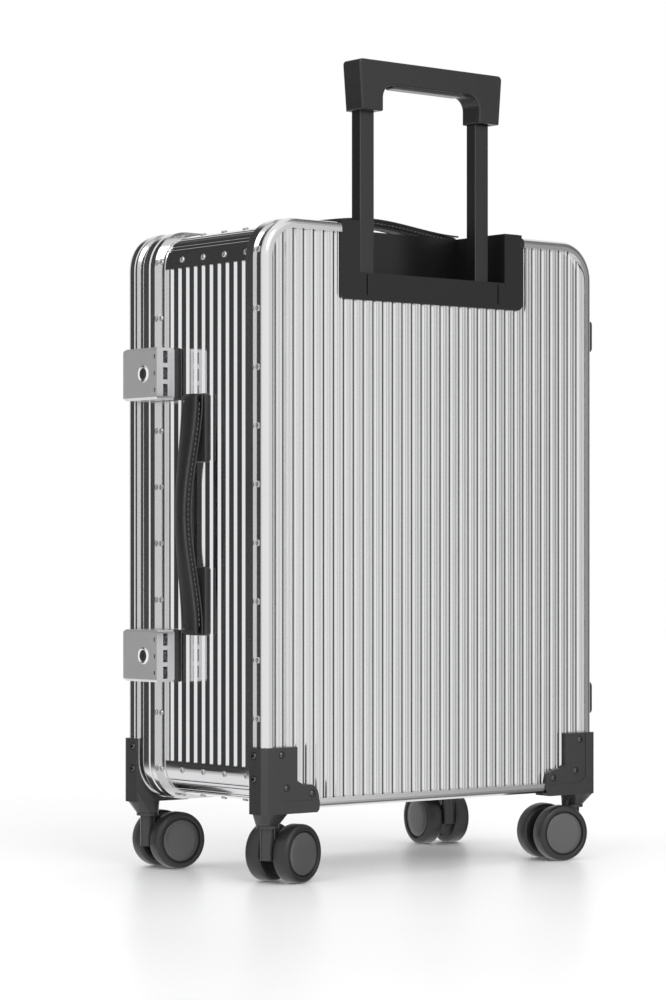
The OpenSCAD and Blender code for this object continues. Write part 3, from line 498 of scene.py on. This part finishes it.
class Bench:
    """Modelling steps that the pieces share, all with bpy.ops."""

    @staticmethod
    def take(obj: bpy.types.Object) -> None:
        """Select one object alone and make it active."""
        if bpy.context.object and bpy.context.object.mode != "OBJECT":
            bpy.ops.object.mode_set(mode="OBJECT")
        bpy.ops.object.select_all(action="DESELECT")
        obj.select_set(True)
        bpy.context.view_layer.objects.active = obj

    @staticmethod
    def clear() -> None:
        """Deselect everything before a primitive is added."""
        bpy.ops.object.select_all(action="DESELECT")

    @staticmethod
    def edit(obj: bpy.types.Object) -> None:
        """Open an object in edit mode with everything selected."""
        Bench.take(obj)
        bpy.ops.object.mode_set(mode="EDIT")
        bpy.ops.mesh.select_all(action="SELECT")

    @staticmethod
    def done() -> None:
        """Leave edit mode."""
        bpy.ops.object.mode_set(mode="OBJECT")

    @staticmethod
    def modify(obj: bpy.types.Object, kind: str, **settings: object) -> None:
        """Add a modifier and apply it.

        Args:
            obj: the piece.
            kind: the modifier's type.
            settings: its properties.
        """
        Bench.take(obj)
        modifier = obj.modifiers.new(kind.title(), kind)
        for key, setting in settings.items():
            setattr(modifier, key, setting)
        bpy.ops.object.modifier_apply(modifier=modifier.name)

    @staticmethod
    def smooth(obj: bpy.types.Object, degrees: float = 30.0) -> None:
        """Shade smooth, with edges sharper than an angle kept.

        Args:
            obj: the piece.
            degrees: the angle.
        """
        Bench.take(obj)
        bpy.ops.object.shade_smooth_by_angle(angle=math.radians(degrees))

    @staticmethod
    def lathe(name: str, outline: list[tuple[float, float]], steps: int = LATHE_STEPS) -> bpy.types.Object:
        """Spin an outline of (radius, height) points about Z into a closed turned piece.

        Args:
            name: the piece's name.
            outline: the points, starting and ending on the axis or closed.
            steps: how many steps make the turn.

        Returns:
            The piece, on the origin.
        """
        Bench.clear()
        bpy.ops.mesh.primitive_circle_add(vertices=len(outline), radius=1.0, fill_type="NOTHING")
        obj = bpy.context.object
        obj.name = name
        for vertex, (radius, height) in zip(obj.data.vertices, outline):
            vertex.co = (radius * MM, 0.0, height * MM)
        Bench.edit(obj)
        bpy.ops.mesh.spin(steps=steps, angle=2 * math.pi, center=(0, 0, 0), axis=(0, 0, 1))
        bpy.ops.mesh.select_all(action="SELECT")
        bpy.ops.mesh.remove_doubles(threshold=MERGE_M)
        bpy.ops.mesh.normals_make_consistent(inside=False)
        Bench.done()
        return obj

    @staticmethod
    def copy(obj: bpy.types.Object, name: str, matrix: Matrix) -> bpy.types.Object:
        """Copy a piece with its own mesh, moved by a matrix.

        Args:
            obj: the piece to copy.
            name: the copy's name.
            matrix: where it goes.

        Returns:
            The copy.
        """
        twin = bpy.data.objects.new(name, obj.data.copy())
        bpy.context.collection.objects.link(twin)
        twin.data.transform(matrix)
        if matrix.determinant() < 0:
            twin.data.flip_normals()
        return twin

    @staticmethod
    def merged(obj: bpy.types.Object, name: str) -> bpy.types.Object:
        """Copy a CAD piece in place, with its loose triangles merged into whole flat faces.

        Args:
            obj: the CAD piece.
            name: the copy's name.

        Returns:
            The copy.
        """
        twin = Bench.copy(obj, name, Matrix.Identity(4))
        Bench.edit(twin)
        bpy.ops.mesh.remove_doubles(threshold=MERGE_M)
        bpy.ops.mesh.dissolve_limited(angle_limit=math.radians(FLAT_DEG))
        Bench.done()
        return twin

    @staticmethod
    def round_edges(obj: bpy.types.Object, rounding: "Rounding") -> None:
        """Round the sharp edges of a piece.

        Args:
            obj: the piece.
            rounding: how.
        """
        Bench.modify(obj, "BEVEL", width=rounding.width_mm * MM, segments=rounding.segments,
                     limit_method="ANGLE", angle_limit=math.radians(rounding.degrees),
                     use_clamp_overlap=True, harden_normals=False)

    @staticmethod
    def join(parts: list[bpy.types.Object], name: str) -> bpy.types.Object:
        """Join pieces into one object.

        Args:
            parts: the pieces.
            name: the joined piece's name.

        Returns:
            The joined piece.
        """
        Bench.take(parts[0])
        for part in parts:
            part.select_set(True)
        bpy.ops.object.join()
        parts[0].name = name
        return parts[0]


class Shop:
    """What every sub-assembly needs: the frame, the finishes and the making of refined copies."""

    def __init__(self, frame: dict) -> None:
        """Keep the loaded frame.
        """
        self.frame = frame
        self.paint = Paint()
        self.finishes = Finishes()
        nodes_by_body = frame["record"]["behaviour"]["bodies"]
        self.bodies = {node: body for body, nodes in nodes_by_body.items() for node in nodes}

    def node(self, name: str) -> bpy.types.Object:
        """The CAD object of a node."""
        return bpy.data.objects[name] if name in bpy.data.objects else self.frame["nodes"][name]

    def dress(self, finish: "Metal | Moulded | Leather | Cloth | Numbered", *nodes: str) -> None:
        """Give CAD nodes a finish.

        Args:
            finish: the finish.
            nodes: the nodes.
        """
        for name in nodes:
            self.paint.lay(self.node(name), finish)
            LOG.info("%s: %s", name, finish.name)

    def add(self, obj: bpy.types.Object, body: str, finish: "Metal | Moulded | Leather | Cloth | Numbered",
            slot: str, *replaced: str) -> bpy.types.Object:
        """Finish a new piece and let it ride on its body.

        Args:
            obj: the piece, in place.
            body: the body it moves with.
            finish: its finish.
            slot: the record's material slot; not used.
            replaced: CAD nodes it stands for.

        Returns:
            The piece.
        """
        self.paint.lay(obj, finish)
        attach(obj, body)
        if replaced:
            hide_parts(*replaced)
        LOG.info("%s rides on %s", obj.name, body)
        return obj

    def refine(self, node: str, rounding: Rounding, finish: "Metal | Moulded | Cloth",
               slot: str) -> bpy.types.Object:
        """Replace a CAD node by a merged copy with rounded edges.

        Args:
            node: the CAD node.
            rounding: how its edges are rounded.
            finish: the finish.
            slot: the record's material slot.

        Returns:
            The copy.
        """
        obj = Bench.merged(self.node(node), node + "_piece")
        Bench.round_edges(obj, rounding)
        Bench.smooth(obj, 35.0)
        Bench.modify(obj, "WEIGHTED_NORMAL", mode="FACE_AREA", weight=100, keep_sharp=True)
        return self.add(obj, self.bodies[node], finish, slot, node)


# ------------------------------------------------------------------ sub-assemblies


@dataclass
class Shell:
    """Panels, frames and rivets of both halves."""

    shop: Shop

    def build(self) -> None:
        """Dress the panels and frames."""
        f = self.shop.finishes
        self.shop.dress(f.satin, "back_panel", "lid_panel")
        self.shop.dress(f.frame_metal, "back_frame", "body_seam_frame", "lid_front_frame", "lid_seam_frame")
        self.shop.dress(f.mirror, "side_panel_left", "side_panel_right", "top_panel", "bottom_panel",
                        "lid_wall")
        self.shop.dress(f.rail, "corner_rails")
        self.shop.dress(f.rivet, "body_rivets")
        self.shop.dress(f.rubber, "seam_gasket")


@dataclass
class Brackets:
    """Corner brackets and their screws."""

    shop: Shop

    def build(self) -> None:
        """Soften the edges of the four brackets and dress their screws."""
        f = self.shop.finishes
        for node in ("back_bracket_left", "back_bracket_right", "lid_bracket_left", "lid_bracket_right"):
            self.shop.refine(node, Rounding(0.7, 28.0), f.plastic, "black_plastic")
        self.shop.dress(f.screw, "body_screws", "lid_screws")


@dataclass
class Casters:
    """Forks, tyres and hub caps."""

    shop: Shop
    tyre: list[tuple[float, float]] = field(default_factory=lambda: [
        (2.6, -8.0), (9.0, -8.0), (9.6, -7.2), (17.6, -7.2), (18.4, -8.0), (22.0, -8.0), (23.6, -7.4),
        (24.6, -6.2), (25.0, -4.6), (25.0, 4.6), (24.6, 6.2), (23.6, 7.4), (22.0, 8.0), (20.4, 8.0),
        (19.7, 7.5), (19.5, 6.4), (19.0, 5.9), (18.3, 5.9), (18.2, 5.2), (2.6, 5.2)])
    cap: list[tuple[float, float]] = field(default_factory=lambda: [
        (0.0, 5.2), (18.0, 5.2), (18.1, 6.3), (17.9, 6.9), (17.4, 7.2), (12.0, 7.45), (0.0, 7.55)])

    def build(self) -> None:
        """Make the eight wheels and dress the forks."""
        f = self.shop.finishes
        tyre = Bench.lathe("tyre_pattern", self.tyre, WHEEL_STEPS)
        cap = Bench.lathe("cap_pattern", self.cap, WHEEL_STEPS)
        rolls = {j["name"]: j for j in self.shop.frame["record"]["behaviour"]["joints"]}
        for corner in CORNERS:
            self.shop.refine(f"fork_{corner}", Rounding(0.5, 50.0, 2), f.plastic, "black_plastic")
            for side, sign in (("a", 1.0), ("b", -1.0)):
                node = f"wheel_{corner}_{side}"
                low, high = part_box(node)
                axis = Vector(rolls[f"roll_{corner}_{side}"]["axis"]) * sign
                turn = axis.to_track_quat("Z", "Y").to_matrix().to_4x4()
                place = Matrix.Translation((low + high) / 2) @ turn
                body = self.shop.bodies[node]
                ring = Bench.copy(tyre, node + "_tyre", place)
                disc = Bench.copy(cap, node + "_cap", place)
                Bench.smooth(ring, 35.0)
                Bench.smooth(disc, 35.0)
                self.shop.add(ring, body, f.tyre, "wheel_plastic", node)
                self.shop.add(disc, body, f.cap, "wheel_plastic")
        for pattern in (tyre, cap):
            bpy.data.objects.remove(pattern)


@dataclass
class CarryHandle:
    """A bowed leather strap with four piped edges and a row of stitches along each side.

    The strap is made upright, with its foot in the plane x = 0 and its length along Z, in millimetres.
    """

    shop: Shop
    node: str
    upright: bool
    bow_mm: float = 9.5
    waist_mm: float = 13.8
    foot_mm: float = 0.5
    cover_mm: float = 1.1
    inset_mm: float = 0.35
    crown_mm: float = 0.5
    under_crown: float = 0.3
    end_from: float = 0.985
    steps: int = 56
    piping_mm: float = 0.85
    piping_depth_mm: float = 1.1
    piping_end: float = 0.006
    stitch_pitch_mm: float = 4.2
    stitch_start_mm: float = 7.0
    stitch_mm: Point = (0.42, 0.36, 1.5)

    def __post_init__(self) -> None:
        """Take the strap's place and size from its CAD node."""
        low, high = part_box(self.node)
        centre = (low + high) / 2
        if self.upright:
            depth, length = high.x - low.x, high.z - low.z
            self.place = Matrix.Translation((low.x, centre.y, centre.z))
        else:
            depth, length = high.z - low.z, high.x - low.x
            lying = Matrix.Rotation(-math.pi / 2, 4, "Y")
            self.place = Matrix.Translation((centre.x, centre.y, low.z)) @ lying
        self.length, self.width = length / MM, (high.y - low.y) / MM
        self.thick = depth / MM - self.bow_mm

    def build(self) -> None:
        """Make the strap body, the piping and the stitches."""
        f = self.shop.finishes
        leather = self._body()
        leather.name = self.node + "_leather"
        leather.data.transform(self.place)
        Bench.smooth(leather, 50.0)
        self.shop.add(leather, "body", f.leather, "black_leather", self.node)
        # the piping carries the lighter leather that stands in for the strap's edge highlights
        painted_highlight_piping = Bench.join(self._piping(), self.node + "_piping")
        painted_highlight_piping.data.transform(self.place)
        Bench.smooth(painted_highlight_piping, 50.0)
        self.shop.add(painted_highlight_piping, "body", f.painted_highlight_piping, "black_leather")
        # the stitches carry the thread colour that is partly a painted highlight
        thread_grey_and_highlight = self._stitches()
        thread_grey_and_highlight.data.transform(self.place)
        self.shop.add(thread_grey_and_highlight, "body", f.thread_grey_and_highlight, "black_leather")

    def _bow(self, t: float) -> float:
        """Height of the strap's foot above its ends, at share t of its length."""
        return self.bow_mm * (0.5 - 0.5 * math.cos(2 * math.pi * min(max(t, 0.0), 1.0)))

    def _half(self, t: float) -> float:
        """Half the strap's width at share t of its length."""
        waist = 0.5 - 0.5 * math.cos(2 * math.pi * t)
        return (self.width - (self.width - self.waist_mm) * waist) / 2

    def _end(self, z: float) -> float:
        """How full the strap is near its rounded ends: one inside, nought at the tip."""
        past = abs(2 * z) - self.end_from
        return math.sqrt(max(0.0, 1 - (past / (1 - self.end_from)) ** 2)) if past > 0 else 1.0

    def _body(self) -> bpy.types.Object:
        """The strap body: a box cut into slices, rounded and drawn out along the bow."""
        Bench.clear()
        bpy.ops.mesh.primitive_cube_add(size=1.0)
        obj = bpy.context.object
        Bench.edit(obj)
        bpy.ops.mesh.bevel(offset=0.22, segments=4, affect="EDGES")
        for k in range(1, self.steps):
            bpy.ops.mesh.select_all(action="SELECT")
            bpy.ops.mesh.bisect(plane_co=(0, 0, k / self.steps - 0.5), plane_no=(0, 0, 1))
        Bench.done()
        depth = self.thick - self.cover_mm
        for vertex in obj.data.vertices:
            x, y, z = vertex.co
            t = z + 0.5
            crown = self.crown_mm * (1 - (2 * y) ** 2) * (1 if x > 0 else self.under_crown)
            out = self._bow(t) + self.foot_mm + depth * (x + 0.5) + crown * math.copysign(1, x)
            across = y * 2 * (self._half(t) - self.inset_mm) * (0.9 + 0.1 * self._end(z))
            vertex.co = (out * MM, across * MM, z * self.length * MM)
        return obj

    def _line(self, name: str, x: float, side: float) -> bpy.types.Object:
        """One piped edge, sewn along the strap.

        Args:
            name: the piece's name.
            x: its depth in the strap, in millimetres from the foot.
            side: which side it runs on.

        Returns:
            The edge as a mesh.
        """
        curve = bpy.data.curves.new(name, "CURVE")
        curve.dimensions = "3D"
        curve.bevel_depth = self.piping_mm * MM
        curve.bevel_resolution = 2
        curve.use_fill_caps = True
        spline = curve.splines.new("POLY")
        spline.points.add(self.steps)
        for k, point in enumerate(spline.points):
            t = self.piping_end + (1 - 2 * self.piping_end) * k / self.steps
            point.co = ((self._bow(t) + x) * MM, side * (self._half(t) - self.piping_mm) * MM,
                        (t - 0.5) * self.length * MM, 1.0)
        obj = bpy.data.objects.new(name, curve)
        bpy.context.collection.objects.link(obj)
        Bench.take(obj)
        bpy.ops.object.convert(target="MESH")
        return bpy.context.object

    def _piping(self) -> list[bpy.types.Object]:
        """The four piped edges."""
        depths = (self.piping_depth_mm, self.thick - self.piping_depth_mm)
        places = [(x, side) for x in depths for side in (1, -1)]
        return [self._line(f"piping_{i}", x, side) for i, (x, side) in enumerate(places)]

    def _stitches(self) -> bpy.types.Object:
        """Short threads along the middle of both sides."""
        Bench.clear()
        bpy.ops.mesh.primitive_uv_sphere_add(segments=8, ring_count=5, radius=1.0)
        seed = bpy.context.object
        run = self.length - 2 * self.stitch_start_mm
        count = int(run / self.stitch_pitch_mm)
        shape = Matrix.Diagonal((*(size * MM for size in self.stitch_mm), 1.0))
        made = []
        for k in range(count):
            t = (self.stitch_start_mm + (k + 0.5) * run / count) / self.length
            rise = math.atan2(self._bow(t + 0.01) - self._bow(t - 0.01), 0.02 * self.length)
            for side in (1.0, -1.0):
                spot = Vector((self._bow(t) + self.thick / 2, side * (self._half(t) - self.inset_mm),
                               (t - 0.5) * self.length)) * MM
                place = Matrix.Translation(spot) @ Matrix.Rotation(rise, 4, "Y") @ shape
                made.append(Bench.copy(seed, f"stitch_{k}", place))
        bpy.data.objects.remove(seed)
        thread_grey_and_highlight = Bench.join(made, self.node + "_thread")
        Bench.smooth(thread_grey_and_highlight, 60.0)
        return thread_grey_and_highlight


@dataclass
class Trolley:
    """Housing, tubes, grip and release strip."""

    shop: Shop

    def build(self) -> None:
        """Round the edges of the trolley's pieces and dress them."""
        f = self.shop.finishes
        self.shop.refine("trolley_housing", Rounding(0.8), f.housing, "black_plastic")
        self.shop.refine("trolley_grip", Rounding(1.4, segments=4), f.grip, "black_plastic")
        self.shop.refine("trolley_inner_tubes", Rounding(1.5, segments=4), f.tube, "black_tube")
        self.shop.dress(f.tube, "trolley_mid_tubes", "trolley_outer_tubes")
        self.shop.refine("release_button", Rounding(0.8), f.cap, "chrome_metal")


@dataclass
class Locks:
    """Lock cases, key cylinders, dials, bolts and keepers."""

    shop: Shop
    ring: list[tuple[float, float]] = field(default_factory=lambda: [
        (5.15, -0.4), (7.4, -0.4), (7.4, 0.3), (7.0, 0.8), (6.2, 1.0), (5.5, 0.8), (5.15, 0.4)])

    def build(self) -> None:
        """Round the lock cases, ring the key cylinders and dress the rest."""
        f = self.shop.finishes
        self.shop.refine("lock_cases", Rounding(0.5), f.lock, "lock_metal")
        self.shop.refine("lock_bases", Rounding(0.5, segments=2), f.plastic, "black_plastic")
        self.shop.dress(f.chrome, "key_cylinder_upper", "key_cylinder_lower")
        self.shop.dress(f.rivet, "lock_keepers", "lock_bolt_upper", "lock_bolt_lower")
        for level in LEVELS:
            self.shop.dress(f.dial, *(f"dial_{level}_{i}" for i in (1, 2, 3)))
            low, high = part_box(f"key_cylinder_{level}")
            middle = (low + high) / 2
            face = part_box("lock_cases")[1].x
            place = Matrix.Translation((face, middle.y, middle.z))
            ring = Bench.lathe(f"key_ring_{level}", self.ring)
            ring.data.transform(place @ Matrix.Rotation(math.pi / 2, 4, "Y"))
            Bench.smooth(ring)
            self.shop.add(ring, "body", f.chrome, "chrome_metal")


@dataclass
class Fittings:
    """Hinges, feet and the blocks under the straps."""

    shop: Shop

    def build(self) -> None:
        """Round the edges of the small fittings and dress them."""
        f = self.shop.finishes
        for node in ("handle_mounts", "body_feet"):
            self.shop.refine(node, Rounding(1.2), f.plastic, "black_plastic")
        for node in ("hinge_leaves_body", "hinge_leaves_lid"):
            self.shop.refine(node, Rounding(0.25, 50.0, 2), f.lock, "lock_metal")


@dataclass
class Interior:
    """Cloth linings and packing straps."""

    shop: Shop

    def build(self) -> None:
        """Make the linings and the straps."""
        f = self.shop.finishes
        for node in ("body_lining", "lid_lining"):
            obj = Bench.merged(self.shop.node(node), node + "_cloth")
            Bench.round_edges(obj, Rounding(0.5, segments=2))
            Bench.smooth(obj, 40.0)
            self.shop.add(obj, self.shop.bodies[node], f.lining, "grey_fabric", node)
        self.shop.refine("pack_straps", Rounding(0.5, segments=2), f.webbing, "webbing")


@dataclass
class Studio:
    """Pale floor, soft light and the camera."""

    eye: Point = (1.7683, 2.1068, 0.27525)
    look: Point = (-0.635, -0.772, 0.0)
    lens_mm: float = 110.34
    shift_y: float = 0.0562
    grey_towards: Point = (-0.66, 0.752, 0.0)
    grey_across: Point = (-0.752, -0.66, 0.0)
    grey_depth: float = 0.86
    dark_depth: float = 0.95
    floor_m: float = 14.0
    sky_power: float = 1.1
    sky_degrees: float = 140.0
    key_spot: Point = (0.9, 3.2, 2.4)
    key_aim: Point = (0.0, 0.0, 0.3)
    key_size_m: float = 1.8
    key_watts: float = 30.0

    def build(self) -> None:
        """Set up the floor, the world, the lights and the camera."""
        self._floor()
        self._world()
        self._lights()
        self._camera()

    def _floor(self) -> None:
        """A wide pale floor with a faint gloss."""
        Bench.clear()
        bpy.ops.mesh.primitive_plane_add(size=self.floor_m)
        floor = bpy.context.object
        floor.name = "studio_floor"
        g = Graph.of_material("floor_paper")
        tone = g.noise(g.place(), 3.0, 2.0)
        floor.data.materials.append(g.finish(Base_Color=g.tint(tone, (0.86, 0.86, 0.86), (0.9, 0.9, 0.9)),
                                             Roughness=tone * 0.05 + 0.32, Specular_IOR_Level=0.35))
        floor.visible_glossy = False

    def _world(self) -> None:
        """A white room, grey to one side and with one dark band, which polished metal shows."""
        world = bpy.data.worlds.new("studio_world")
        bpy.context.scene.world = world
        g = Graph(world)
        way = g.node("ShaderNodeTexCoord", {}, {}, "Generated")
        dot = ("ShaderNodeVectorMath", {"operation": "DOT_PRODUCT"})
        grey = g.node(*dot, {0: way, 1: self.grey_towards}, "Value")
        side = g.node(*dot, {0: way, 1: self.grey_across}, "Value")
        front = g.axis(way, "Y") * -1.0
        band = front.step(0.52, 0.68) * (1.0 - front.step(0.86, 0.96)) * g.axis(way, "X").step(-0.5, -0.1)
        dark = band * g.axis(way, "Z").step(-0.4, -0.15)
        dim = grey.step(0.3, 0.8) * side.step(-0.1, 0.1)
        level = (1.0 - dim * self.grey_depth) * (1.0 - dark * self.dark_depth)
        seen = g.node("ShaderNodeLightPath", {}, {}, "Is Camera Ray")
        strength = level * (1.0 - seen) + seen
        light = g.node("ShaderNodeBackground", {}, {"Color": (1.0, 1.0, 1.0, 1.0), "Strength": strength})
        g.close(light, "ShaderNodeOutputWorld")

    def _lights(self) -> None:
        """A wide soft sky light for the floor, and a large soft light high behind the case."""
        sky = bpy.data.lights.new("sky_light", "SUN")
        sky.energy = self.sky_power
        sky.angle = math.radians(self.sky_degrees)
        above = bpy.data.objects.new("sky_light", sky)
        above.visible_glossy = False
        bpy.context.collection.objects.link(above)
        key = bpy.data.lights.new("key_light", "AREA")
        key.energy = self.key_watts
        key.shape = "DISK"
        key.size = self.key_size_m
        lamp = bpy.data.objects.new("key_light", key)
        bpy.context.collection.objects.link(lamp)
        lamp.location = self.key_spot
        aim = Vector(self.key_aim) - Vector(self.key_spot)
        lamp.rotation_euler = aim.to_track_quat("-Z", "Y").to_euler()

    def _camera(self) -> None:
        """A level camera behind the case, on the lock side."""
        data = bpy.data.cameras.new("camera")
        data.lens = self.lens_mm
        data.sensor_width = 36.0
        data.shift_y = self.shift_y
        data.clip_end = 60.0
        camera = bpy.data.objects.new("camera", data)
        bpy.context.collection.objects.link(camera)
        camera.location = self.eye
        camera.rotation_euler = Vector(self.look).to_track_quat("-Z", "Y").to_euler()
        bpy.context.scene.camera = camera
        bpy.context.scene.view_settings.view_transform = "Standard"


def main() -> None:
    """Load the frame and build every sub-assembly."""
    logging.basicConfig(level=logging.INFO, format="%(name)s: %(message)s")
    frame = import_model()
    shop = Shop(frame)
    for part in (Shell(shop), Brackets(shop), Casters(shop), CarryHandle(shop, "side_handle_strap", True),
                 CarryHandle(shop, "top_handle_strap", False), Trolley(shop), Locks(shop), Fittings(shop),
                 Interior(shop), Studio()):
        part.build()
        LOG.info("built %s", type(part).__name__)


if __name__ == "__main__":
    main()
